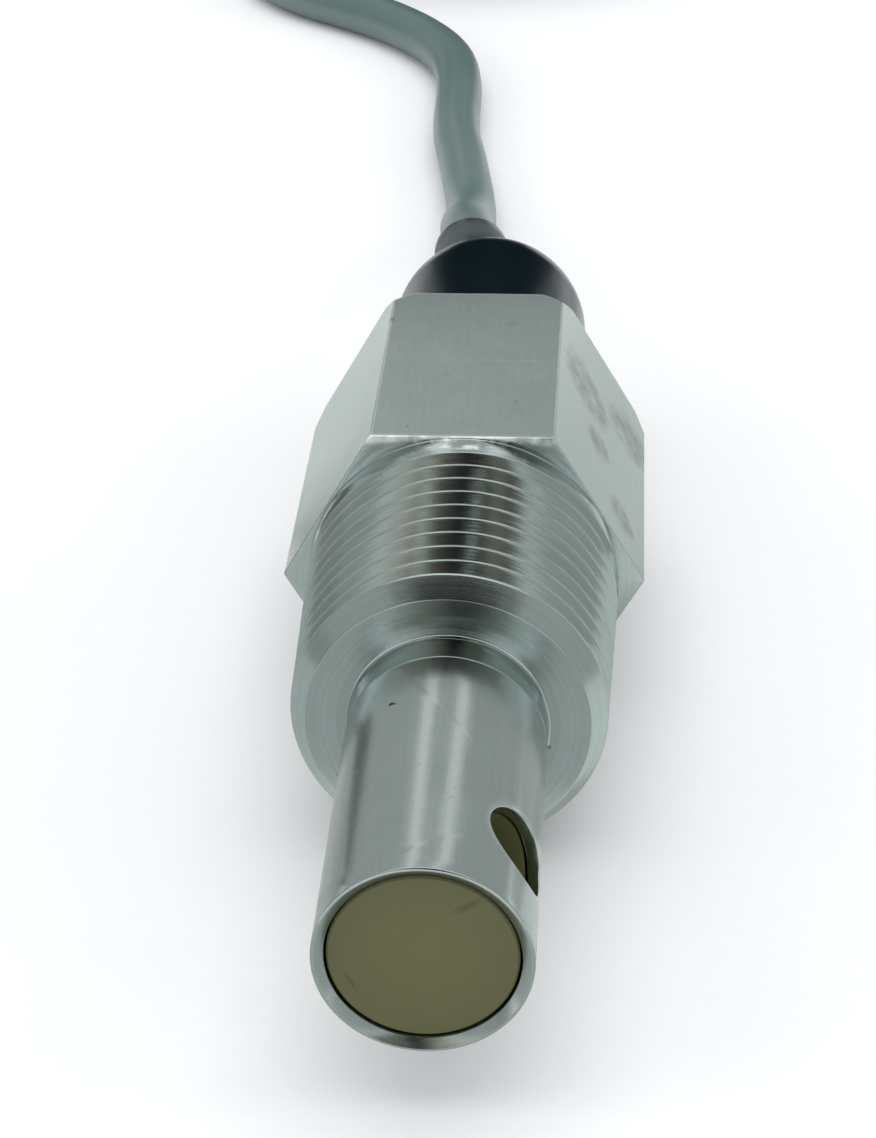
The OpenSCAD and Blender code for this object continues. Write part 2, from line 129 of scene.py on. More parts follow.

# Glowing cards round the sensor that only reflections see, painted reflections of light and shade on its metal and
# rubber, each with the azimuth and height of its edges in degrees and its shade. Azimuth 0 is the camera's side and
# grows towards the sensor's right.
CARDS = {
    "rim_dark_reflection": (-14, 8.5, 37, 41, 0.01),
    "rim_left": (-21, -14, 36, 40, 0.85),
    "rim_right": (8.5, 13, 36, 40, 0.8),
    "camera_dark_reflection": (-1.5, 17.5, 8, 62, 0.01),
    "brown_left": (-9, -1.5, 8, 60, (0.12, 0.1, 0.09)),
    "brown_mid_left": (-24, -9, 8, 60, (0.29, 0.25, 0.22)),
    "mauve_left": (-33, -24, 4, 60, (0.59, 0.53, 0.49)),
    "pale_left": (-41, -33, 0, 60, 0.7),
    "olive_right": (17.5, 23.5, 8, 60, (0.27, 0.25, 0.2)),
    "brown_right": (23.5, 32, 8, 60, (0.1, 0.085, 0.075)),
    "pale_right": (32, 40, 0, 54, 0.7),
    "overhead_dark_reflection": (-60, 75, 58, 86, 0.01),
    "overhead_left": (-86, -60, 54, 80, 0.14),
    "overhead_right": (40, 84, 48, 62, 0.16),
    "wall_right": (40, 128, -1, 48, 0.45),
    "wall_left": (-128, -41, 12, 54, 0.43),
    "low_left": (-128, -41, -3, 12, 0.34),
    "low_right": (40, 128, -7, -1, 0.44),
    "back_left": (-164.5, -128, 1, 52, 0.5),
    "back_middle": (172, 188, 1, 52, 0.54),
    "back_right": (128, 164.5, 1, 52, 0.48),
    "shade_left": (-156, -140, -9, 1.5, 0.14),
    "shade_right": (142, 154, -4, 1.5, 0.45),
    "shaded_floor_reflection_left": (-124, -62, -40, -3, 0.55),
    "shaded_floor_reflection_front": (-62, 62, -80, -9, 0.46),
    "shaded_floor_reflection_right": (62, 124, -46, -7, 0.74),
    "floor_far_left": (-140, -124, -9, -3, 0.36),
    "floor_mid_left": (-152, -124, -18, -9, 0.48),
    "floor_near_left": (-152, -124, -44, -18, 0.54),
    "floor_behind_left": (-172, -156, -12, -4, 0.92),
    "floor_far_right": (128, 152, -9, -4, 0.48),
    "floor_mid_right": (124, 152, -22, -9, 0.52),
    "floor_near_right": (124, 152, -48, -22, 0.42),
    "floor_behind_right": (152, 168, -12, -4, 0.78),
}


def length(name, description, default):
    """Length property with its default in metres."""
    return FloatProperty(name=name, description=description, default=default, unit="LENGTH", precision=5)


def colour(name, description, default):
    """Colour property with its default."""
    return FloatVectorProperty(
        name=name, description=description, default=default, subtype="COLOR", size=3, min=0, max=1)


class SensorSizes(PropertyGroup):
    """Sizes of the sensor and its cable."""

    tube_diameter: length("Tube", "Outer diameter of the shield tube", 0.0131)
    tube_bore: length("Tube bore", "Inner diameter of the shield tube", 0.0116)
    passage_diameter: length("Passage", "Diameter of the flow passage", 0.0057)
    face_diameter: length("Front face", "Outer edge of the flat face in front of the thread", 0.0188)
    crest_diameter: length("Crest", "Diameter of the thread's first crest", 0.02092)
    thread_pitch: length("Pitch", "Distance from crest to crest", 0.001814)
    thread_depth: length("Depth", "Depth of the thread's groove", 0.00115)
    across_flats: length("Across flats", "Size of the hexagon for a wrench", 0.0222)
    boot_diameter: length("Boot", "Diameter of the rubber boot", 0.0158)
    boot_lean: FloatProperty(
        name="Boot's lean", description="Sideways lean of the boot's collar", default=0.13963, subtype="ANGLE")
    cable_diameter: length("Cable", "Diameter of the cable's jacket", 0.0049)
    lead_diameter: length("Lead", "Diameter of an insulated lead", 0.0012)
    coil_radius: length("Coil", "Outermost turn round either end of the coil, at the cable's middle", 0.02725)


class SensorColours(PropertyGroup):
    """Colours of the sensor's finishes."""

    steel: colour("Steel", "Satin stainless steel", (0.46, 0.53, 0.515))
    drawn: colour("Drawn steel", "Stainless tube", (0.47, 0.53, 0.515))
    holder: colour("Holder", "Olive-tan plastic of the electrode holder", (0.135, 0.137, 0.052))
    boot: colour("Boot", "Black rubber of the boot", (0.003, 0.008, 0.011))
    jacket: colour("Jacket", "Grey-green jacket of the cable", (0.083, 0.138, 0.131))
    floor: colour("Floor", "Pale floor", (0.93, 0.93, 0.93))


def entries(group):
    """Names of a group's own properties."""
    return [name for name in group.bl_rna.properties.keys() if name not in ("rna_type", "name")]


def sizes():
    """Sizes in millimetres by name, and the lean in radians."""
    group = bpy.context.scene.sensor_sizes
    return {name: getattr(group, name) * (1 if name == "boot_lean" else 1000) for name in entries(group)}


def colours():
    """The scene's colour settings."""
    return bpy.context.scene.sensor_colours


# Surfaces


def on_axis(at, radius, progress):
    """Points round the sensor's axis: x is radius times cos(angle), z is axis height plus radius times sin(angle).
    The angle starts straight down and turns clockwise, seen from the tip, as progress goes from 0 to 1."""
    angle = np.radians(270 - 360 * progress)
    at, radius, angle = np.broadcast_arrays(at, radius, angle)
    return np.stack([radius * np.cos(angle), at + TIP_Y, AXIS_Z + radius * np.sin(angle)], axis=-1)


def lattice(rows, columns=len(ROUND), first=0, ring=True, loop=False):
    """Four-sided faces of a grid of rows by columns, numbered row by row. A ring joins the last column to the
    first one, and a loop joins the last row to the first one."""
    i = np.arange(rows if loop else rows - 1)[:, None]
    j = np.arange(columns if ring else columns - 1)[None, :]
    low, high = i * columns, (i + 1) % rows * columns
    left, right = j, (j + 1) % columns
    return first + np.stack([low + left, low + right, high + right, high + left], axis=-1).reshape(-1, 4)


def smoothstep(low, high, value):
    """0 below low, 1 above high, and 3t squared less 2t cubed between them."""
    t = np.clip((value - low) / (high - low), 0, 1)
    return t * t * (3 - 2 * t)


def arc(centre, radius, start, end, count):
    """Points of a round edge in the profile: centre plus radius times (cos, sin) of an angle in degrees."""
    angle = np.radians(np.linspace(start, end, count))
    return np.stack([centre[0] + radius * np.cos(angle), centre[1] + radius * np.sin(angle)], axis=-1)


def through(points, spacing):
    """Smooth line through points: each stretch is the cubic p0 h00 + m0 h10 + p1 h01 + m1 h11, whose slopes are
    half the way between a point's two neighbours. Points are about one spacing apart."""
    points = np.asarray(points, float)
    slope = np.gradient(points, axis=0)
    parts = []
    for a, b, ma, mb in zip(points[:-1], points[1:], slope[:-1], slope[1:]):
        steps = max(2, int(np.ceil(np.linalg.norm(b - a) / spacing)))
        t = np.linspace(0, 1, steps, endpoint=False)[:, None]
        parts.append((2 * t**3 - 3 * t**2 + 1) * a + (t**3 - 2 * t**2 + t) * ma
                     + (3 * t**2 - 2 * t**3) * b + (t**3 - t**2) * mb)
    return np.concatenate(parts + [points[-1:]])


def swept(path, radius, sides):
    """Closed tube along a path: each ring is the path's point plus radius times cos(a) side plus sin(a) up.
    Side is level and square to the path, up is square to both, and rings that shrink to a point close the ends."""
    along = np.gradient(path, axis=0)
    along /= np.linalg.norm(along, axis=1)[:, None]
    side = np.cross([0.0, 0.0, 1.0], along)
    side /= np.linalg.norm(side, axis=1)[:, None]
    up = np.cross(along, side)
    rows = np.concatenate([[0] * 3, np.arange(len(path)), [len(path) - 1] * 3])
    scale = radius * np.concatenate([[0, 0.7, 0.92, 0.985], np.ones(len(path) - 2), [0.985, 0.92, 0.7, 0]])
    shift = np.zeros(len(rows))
    shift[2], shift[-3] = 0.016 * radius, -0.016 * radius
    angle = np.linspace(0, 2 * np.pi, sides, endpoint=False)[None, :, None]
    ring = np.cos(angle) * side[rows][:, None] + np.sin(angle) * up[rows][:, None]
    middle = path[rows] + shift[:, None] * along[rows]
    return middle[:, None] + scale[:, None, None] * ring, lattice(len(rows), sides)


def hexagon_radius(progress, apothem, rounding, inset=0.0):
    """Distance of the hexagon's outline from the axis. Along a flat it is apothem over cos(angle from the flat's
    middle). At a corner it is the far side of a small circle that touches both flats."""
    angle = 270 - 360 * progress
    from_flat = np.radians((angle + 60) % 60 - 30)
    from_corner = np.radians((angle + 30) % 60 - 30)
    centre = (apothem - rounding) / np.cos(np.radians(30))
    small = rounding - inset
    limit = np.arctan2(small * 0.5, centre + small * np.cos(np.radians(30)))
    far = centre * np.cos(from_corner) + np.sqrt(np.maximum(small**2 - (centre * np.sin(from_corner))**2, 0))
    return np.where(np.abs(from_corner) < limit, far, (apothem - inset) / np.cos(from_flat))


# Objects


def put(name, data):
    """Object of the data, in the scene."""
    thing = bpy.data.objects.new(name, data)
    bpy.context.scene.collection.objects.link(thing)
    return thing


def shell(name, points, faces):
    """Mesh of points and of faces that come in several parts."""
    mesh = bpy.data.meshes.new(name)
    mesh.from_pydata(np.reshape(points, (-1, 3)), [], [face for part in faces for face in np.asarray(part).tolist()])
    return mesh


def piece(name, points, faces, finish, replaced, edge=None):
    """Makes a mesh object from points in millimetres and faces, merges its doubles, turns its faces outwards and
    lets it ride. An edge field tells the finish where edges are rubbed."""
    mesh = shell(name, np.asarray(points) * 0.001, faces)
    if edge is not None:
        mesh.attributes.new("edge", "FLOAT", "POINT").data.foreach_set("value", edge.astype(np.float32))
    shape = bmesh.new()
    shape.from_mesh(mesh)
    bmesh.ops.remove_doubles(shape, verts=shape.verts, dist=1e-6)
    bmesh.ops.dissolve_degenerate(shape, edges=shape.edges, dist=1e-7)
    bmesh.ops.recalc_face_normals(shape, faces=shape.faces)
    shape.to_mesh(mesh)
    shape.free()
    mesh.shade_smooth()
    mesh.set_sharp_from_angle(angle=np.radians(35))
    mesh.materials.append(finish)
    thing = put(name, mesh)
    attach(thing, "root")
    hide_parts(*replaced)
    return thing


def dress(finish, *names):
    """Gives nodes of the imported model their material."""
    for name in names:
        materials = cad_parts[name].data.materials
        materials.clear()
        materials.append(finish)


# Finishes


class Value:
    """A shader socket that carries a number, with arithmetic that adds Math nodes."""

    def __init__(self, nodes, socket):
        self.nodes = nodes
        self.socket = socket

    def math(self, operation, *values):
        node = self.nodes.add("Math", dict(enumerate(values)), operation=operation)
        return Value(self.nodes, node.outputs[0])

    def __add__(self, other):
        return self.math("ADD", self, other)

    def __sub__(self, other):
        return self.math("SUBTRACT", self, other)

    def __rsub__(self, other):
        return self.math("SUBTRACT", other, self)

    def __mul__(self, other):
        return self.math("MULTIPLY", self, other)

    __radd__ = __add__
    __rmul__ = __mul__

    def high(self, other):
        return self.math("MAXIMUM", self, other)

    def size(self):
        return self.math("ABSOLUTE", self)

    def root(self):
        return self.math("SQRT", self)

    def swing(self, amount):
        """A noise's swing round its middle, times an amount."""
        return (self - 0.5) * amount

    def between(self, low, high):
        """0 below low, 1 above high, smooth between."""
        node = self.nodes.add("MapRange", {0: self, 1: low, 2: high}, interpolation_type="SMOOTHSTEP")
        return Value(self.nodes, node.outputs[0])


class Nodes:
    """The node tree of a material or a world, filled by a single method that adds a node."""

    def __init__(self, owner):
        owner.use_nodes = True
        self.owner = owner
        self.tree = owner.node_tree
        self.tree.nodes.clear()

    def add(self, kind, sockets=None, **settings):
        """Adds a node of a type, makes its settings first, then sets or links its sockets."""
        node = self.tree.nodes.new("ShaderNode" + kind)
        for name, value in settings.items():
            setattr(node, name, value)
        for name, value in (sockets or {}).items():
            socket = node.inputs[name]
            if isinstance(value, Value):
                value = value.socket
            if isinstance(value, bpy.types.NodeSocket):
                self.tree.links.new(value, socket)
            else:
                socket.default_value = (*value, 1) if socket.type == "RGBA" else value
        return node

    def end(self, kind, sockets, output="OutputMaterial"):
        """Ends the tree in a shader of a type, and returns the material or the world."""
        self.add(output, {0: self.add(kind, sockets).outputs[0]})
        return self.owner


class Finish(Nodes):
    """One material's nodes, which start from the place on the object in millimetres."""

    def __init__(self, name):
        super().__init__(bpy.data.materials.new(name))
        self.place = self.add("TexCoord").outputs["Object"]
        parts = self.add("SeparateXYZ", {0: self.place}).outputs
        self.x, self.y, self.z = (Value(self, part) * 1000 for part in parts)
        self.up = self.z - AXIS_Z
        self.radius = (self.x * self.x + self.up * self.up).root()

    def noise(self, scale, detail, roughness=0.5, vector=None):
        node = self.add("TexNoise", {"Vector": vector or self.place, "Scale": scale, "Detail": detail,
                                     "Roughness": roughness})
        return Value(self, node.outputs["Fac"])

    def vector(self, x, y, z=0.0):
        return self.add("CombineXYZ", {0: x, 1: y, 2: z}).outputs[0]

    def wear(self):
        """How much a piece's edges are rubbed."""
        return Value(self, self.add("Attribute", attribute_name="edge").outputs["Fac"])

    def spot(self, x, y, z, size, rag=0.5):
        """1 within a ragged round mark at a place in millimetres, 0 away from it."""
        away = self.add("VectorMath", {0: self.place, 1: (x / 1000, y / 1000, z / 1000)}, operation="DISTANCE")
        distance = Value(self, away.outputs["Value"]) * 1000 + self.noise(900 / size, 3.0).swing(size * rag)
        return 1 - distance.between(size * 0.6, size * 1.2)

    def smear(self, x, z, angle, length, width):
        """1 along a ragged stroke on the end face, by its half length and half width in millimetres."""
        c, s = np.cos(np.radians(angle)), np.sin(np.radians(angle))
        along = ((self.x - x) * c + (self.z - z) * s) * (1 / length)
        across = ((self.z - z) * c - (self.x - x) * s) * (1 / width) + self.noise(1400.0, 3.0).swing(1.6)
        return 1 - (along * along + across * across).root().between(0.3, 1.2)

    def blend(self, amount, one, other):
        """Colour that goes from one to the other as amount goes from 0 to 1."""
        return self.add("Mix", {0: amount, 6: one, 7: other}, data_type="RGBA").outputs[2]

    def shade(self, colour, factor):
        """Colour times a grey of the factor's strength."""
        return self.add("VectorMath", {0: colour, "Scale": factor}, operation="SCALE").outputs[0]

    def bump(self, height, distance, strength):
        return self.add("Bump", {"Strength": strength, "Distance": distance, "Height": height}).outputs[0]

    def close(self, base, rough, metal, normal, specular=0.5):
        return self.end("BsdfPrincipled", {"Base Color": base, "Roughness": rough, "Metallic": metal,
                                           "Normal": normal, "Specular IOR Level": specular})


# Marks on the body: their place and size in millimetres, and how much they darken
MARKS = [(2.8, 12.9, 22.2, 0.45, 0.16), (-6.3, 13.3, 22.2, 0.24, 0.5), (-6.2, 13.7, 22.2, 0.2, 0.35),
         (3.5, -0.4, 22.2, 0.28, 0.28), (-3.9, -4.6, 22.2, 0.12, 0.5), (5.4, -23.6, 20.1, 0.14, 0.7),
         (8.05, -23.1, 17.9, 0.16, 0.6), (-8.4, -25.3, 17.0, 0.4, 0.4), (6.6, -25.8, 9.5, 0.17, 0.6),
         (9.6, -14.5, 16.2, 0.2, 0.45)]
STAINS = [(8.4, 9.2, 18.7, 3.2), (11.7, 12.2, 13.0, 3.4), (9.4, 3.2, 17.1, 1.7), (11.2, -2.4, 14.1, 1.9)]


def turned_steel():
    """Satin stainless bar: fine rings where it was turned, plain milled flats with stains, worn bright edges, and
    painted highlights along the top of the hexagon's front edge and of the thread's first and last crests.
    """
    f = Finish("turned_steel")
    at = f.y - TIP_Y
    flats = at.between(HEX_AT + 0.02, HEX_AT + 0.12)
    turned = 1 - flats
    lathe = f.vector(at, f.radius)
    rings = f.noise(9.0, 3.0, 0.65, lathe)
    coarse = f.noise(2.2, 2.0, 0.5, lathe)
    grain = f.noise(3.0, 4.0, 0.6, f.vector(f.x * 1.2, f.y * 0.12, f.z * 1.2))
    cloud = f.noise(160.0, 3.0, 0.55)
    speck = f.noise(1700.0, 2.0).between(0.68, 0.76)
    dark = stain = 0.0
    for x, y, z, size, depth in MARKS:
        dark = f.spot(x, y, z, size) * depth + dark
    for x, y, z, size in STAINS:
        stain = f.spot(x, y, z, size, 1.1).high(stain)
    stain = stain * f.noise(700.0, 4.0, 0.6).between(0.2, 0.8)
    stain = stain * (f.x * 0.866 + f.up * 0.5).between(10.9, 11.05) * flats
    scratch = 1 - (at - 57.9).size().between(0.05, 0.22)
    scratch = scratch * f.x.between(-3.2, -2.2) * flats * f.up.between(11.0, 11.09)
    wear = f.wear()
    # Painted highlights: near-white lines kept to the top of the hexagon's rubbed front edge and of the first and
    # last crests
    burr_and_highlight = wear.between(0.7, 0.9) * f.noise(420.0, 3.0, 0.6).between(0.38, 0.6) * f.z.between(21.3, 21.9)
    last_crest_highlight = (f.up.between(10.5, 10.85) * at.between(43.75, 43.95) * turned
                  * f.noise(0.55, 3.0, 0.5, f.vector(f.x, at * 1.6)).between(0.46, 0.66))
    first_crest_highlight = (at.between(27.05, 27.25) * (1 - at.between(27.5, 27.75)) * f.up.between(10.5, 12.8)
                   * f.noise(0.5, 3.0, 0.5, f.vector(f.x, f.z)).between(0.42, 0.62))
    bright = burr_and_highlight.high(last_crest_highlight).high(first_crest_highlight * 0.7)
    tone = 0.98 + (rings.swing(0.24) + coarse.swing(0.2)) * turned + grain.swing(0.16) * flats
    tone = tone + cloud.swing(0.22) - speck * 0.12 + wear * 0.3 + scratch * 0.05
    shade = f.shade(f.blend(stain * 0.3, colours().steel, (0.22, 0.21, 0.17)), tone)
    shade = f.blend(dark, shade, (0.02, 0.018, 0.012))
    shade = f.blend(bright, shade, (0.93, 0.95, 0.94))
    rough = 0.15 + flats * 0.09 + cloud.swing(0.1) + stain * 0.2 + wear * 0.1 + bright * 0.3 + dark * 0.3
    height = (rings + coarse * 2.0) * turned + grain * 0.8 * flats - dark * 2.0 + bright
    return f.close(shade, rough, 1 - bright * 0.7 - dark * 0.5, f.bump(height, 0.00001, 0.5))


def drawn_steel():
    """Drawn tube: faint lengthwise lines and short cross scratches, bright rubbed edges and one pit."""
    f = Finish("drawn_steel")
    lines = f.noise(4.0, 4.0, 0.6, f.vector(f.x, f.y * 0.04, f.z))
    across = f.noise(2.0, 3.0, 0.6, f.vector(f.x * 0.3, f.y * 3.0, f.z * 0.3))
    cloud = f.noise(260.0, 3.0, 0.55)
    speck = f.noise(2200.0, 1.0).between(0.74, 0.8)
    pit = f.spot(-3.1, -32.7, 16.9, 0.2, 1.2).high(f.spot(-2.88, -32.78, 16.95, 0.13, 1.2))
    tone = 0.97 + lines.swing(0.14) + across.swing(0.1) + cloud.swing(0.14) - speck * 0.12 + f.wear() * 0.3
    shade = f.blend(pit, f.shade(colours().drawn, tone), (0.01, 0.01, 0.008))
    rough = 0.21 + cloud.swing(0.1) + lines.swing(0.06) + speck * 0.2 + pit * 0.4
    height = lines * 0.6 + across * 0.5 + cloud * 0.4 - pit * 3.0
    return f.close(shade, rough, 1 - pit, f.bump(height, 0.00002, 0.3))


def plain_metal(name, base, rough):
    """Machined metal of a small inner piece: cloudy tone and fine rings."""
    f = Finish(name)
    rings = f.noise(7.0, 3.0, 0.6, f.vector(f.y, f.radius))
    cloud = f.noise(300.0, 2.0)
    shade = f.shade(base, 0.8 + cloud.swing(0.3) + rings.swing(0.25))
    return f.close(shade, rough + cloud.swing(0.2), 1.0, f.bump(rings, 0.00002, 0.4))


def holder_plastic():
    """Faced olive-tan plastic: faint rings from the lathe, a painted shade that darkens it towards the tube's rim
    round it, and two dark smudges.
    """
    f = Finish("holder_plastic")
    rings = f.noise(8.0, 3.0, 0.6, f.vector(f.radius, f.y * 0.2))
    cloud = f.noise(240.0, 3.0, 0.6)
    fine = f.noise(2400.0, 2.0)
    smudge = f.smear(2.6, 14.8, 34, 1.1, 0.26).high(f.smear(-4.3, 9.3, -62, 0.9, 0.14))
    # Less the radius: painted shade, darker towards the rim of the tube round it
    tone = 1.01 + rings.swing(0.1) + cloud.swing(0.12) + fine.swing(0.06) - f.radius * 0.02 - smudge * 0.26
    return f.close(f.shade(colours().holder, tone), 0.5 + cloud.swing(0.15), 0.0,
                   f.bump(rings + fine * 0.5, 0.00002, 0.5))


def boot_rubber():
    """Near-black soft rubber, smooth on the dome, with a paler collar that is a painted sheen, and a dark lip."""
    f = Finish("boot_rubber")
    cloud = f.noise(300.0, 3.0, 0.6)
    # Painted sheen: a paler, rougher band round the collar
    painted_sheen = f.y.between(45.8, 48.0) * (1 - f.y.between(50.6, 51.8))
    shade = f.blend(painted_sheen * 0.85, f.shade(colours().boot, 0.9 + cloud * 0.2), (0.07, 0.09, 0.092))
    return f.close(shade, 0.2 + painted_sheen * 0.3 + cloud.swing(0.1), 0.0,
                   f.bump(f.noise(1500.0, 2.0), 0.000005, 0.5), 0.2)


def moulded(name, base, rough, grain=2500.0, depth=0.00002, spread=0.25, gloss=0.5):
    """Moulded or extruded plastic and rubber: fine pebbled grain, dusty cloud of tone and gloss."""
    f = Finish(name)
    cloud = f.noise(140.0, 3.0, 0.55)
    fine = f.noise(grain, 2.0)
    shade = f.shade(base, 1.0 + cloud.swing(spread) + fine.swing(spread * 0.5))
    return f.close(shade, rough + cloud.swing(0.16) + fine.swing(0.08), 0.0, f.bump(fine, depth, 0.5), gloss)


# Steps


class SENSOR_OT_studio(Operator):
    """Sets the camera, lamps, world and pale floor"""

    bl_idname = "sensor.studio"
    bl_label = "Studio and camera"

    def execute(self, context):
        context.scene.view_settings.view_transform = "Standard"
        context.scene.camera = self.camera()
        self.lamp("ceiling", (0.0, 0.05, 0.7), (0, 0, 0), 0.9, 2.8)
        self.lamp("left_window", (-0.7, -0.15, 0.35), (0, 0, 0.01), 0.6, 1.6)
        self.lamp("right_window", (0.75, 0.05, 0.3), (0, 0, 0.01), 0.6, 1.8)
        self.floor()
        # Painted reflections: glowing cards that only reflections see
        for step, (name, edges) in enumerate(CARDS.items()):
            self.card(name, 0.5 + 0.003 * step, -0.03, *edges)
        # A dark card close over the boot: a painted dark reflection on its dome
        self.card("boot_dark_reflection", 0.032, 0.033, 148, 212, 14, 50, 0.01)
        context.scene.world = self.world()
        return {"FINISHED"}

    def pose(self, side, up, back, place):
        """Matrix whose columns are a thing's side, up and back directions and its place."""
        matrix = np.eye(4)
        matrix[:3] = np.stack([side, up, back, place], axis=1)
        return Matrix(matrix.tolist())

    def camera(self):
        """Camera that looks along its azimuth, dipped below the horizon and rolled about its view."""
        azimuth, dip, roll = CAMERA_AZIMUTH, CAMERA_DIP, CAMERA_ROLL
        ahead = np.array([np.sin(azimuth) * np.cos(dip), np.cos(azimuth) * np.cos(dip), -np.sin(dip)])
        level = np.array([np.cos(azimuth), -np.sin(azimuth), 0.0])
        up = np.cross(level, ahead)
        camera = put("camera", bpy.data.cameras.new("camera"))
        camera.matrix_world = self.pose(np.cos(roll) * level + np.sin(roll) * up,
                                        np.cos(roll) * up - np.sin(roll) * level, -ahead, CAMERA_PLACE)
        camera.data.lens = CAMERA_LENS
        camera.data.clip_start, camera.data.clip_end = 0.01, 20
        return camera

    def lamp(self, name, place, target, size, power):
        """Round lamp at a place in metres, turned to a target."""
        lamp = put(name, bpy.data.lights.new(name, "AREA"))
        lamp.data.shape = "DISK"
        lamp.data.size = size
        lamp.data.energy = power
        lamp.visible_glossy = False
        back = np.array(place) - np.array(target)
        back /= np.linalg.norm(back)
        side = np.cross([0.0, 1.0, 0.1], back)
        side /= np.linalg.norm(side)
        lamp.matrix_world = self.pose(side, np.cross(back, side), back, place)

    def floor(self):
        """Round pale sheet of 3 m, a little below the sensor."""
        u, v = np.meshgrid(np.linspace(0, 1, 24), 2 * np.pi * ROUND, indexing="ij")
        reach = 3.0 * u**2 + 0.001
        points = np.stack([reach * np.cos(v), reach * np.sin(v), 0 * u - 0.00002], -1)
        f = Finish("floor")
        pale = f.shade(colours().floor, 0.99 + f.noise(900.0, 3.0, 0.6).swing(0.03))
        self.lay("floor", points, [lattice(24), [range(len(ROUND))[::-1]]], f.end("BsdfDiffuse", {0: pale}))

    def lay(self, name, points, faces, finish):
        """Object of the stage, from points in metres."""
        mesh = shell(name, points, faces)
        mesh.materials.append(finish)
        thing = put(name, mesh)
        return thing

    def card(self, name, away, place, left, right, low, high, shade):
        """Card bent round a place on the axis, or laid on the floor where it would reach below it. Its point is
        that place plus distance times (sin azimuth cos height, -cos azimuth cos height, sin height). Below the
        horizon, distance is at most the axis height over sin height, and nearer cards lie higher."""
        # The card glows and only reflections see it: a painted reflection of light or shade
        azimuth, height = np.radians(np.meshgrid(np.linspace(left, right, 20), np.linspace(low, high, 20)))
        distance = np.minimum(away, (AXIS_Z - 1.5 + 2 * away) * 0.001 / np.maximum(-np.sin(height), 0.01))
        ray = np.stack([np.sin(azimuth) * np.cos(height), -np.cos(azimuth) * np.cos(height), np.sin(height)], -1)
        points = np.array([0, place, AXIS_Z * 0.001]) + distance[..., None] * ray
        glow = Nodes(bpy.data.materials.new(name)).end("Emission", {0: np.array(REFLECTION_TINT) * shade})
        card = self.lay(name, points, [lattice(20, 20, ring=False)], glow)
        card.visible_camera = card.visible_diffuse = card.visible_shadow = False

    def world(self):
        """Even pale light, but plain white to the camera, in reflections and through glass."""
        nodes = Nodes(bpy.data.worlds.new("studio"))
        path = nodes.add("LightPath").outputs
        camera, glossy, clear = (Value(nodes, path[f"Is {ray} Ray"]) for ray in ("Camera", "Glossy", "Transmission"))
        soft = nodes.add("Background", {0: (0.94, 0.97, 1.0), 1: 0.62})
        white = nodes.add("Background", {0: (1, 1, 1)})
        seen = camera.high(glossy).high(clear)
        return nodes.end("MixShader", {0: seen, 1: soft.outputs[0], 2: white.outputs[0]}, "OutputWorld")


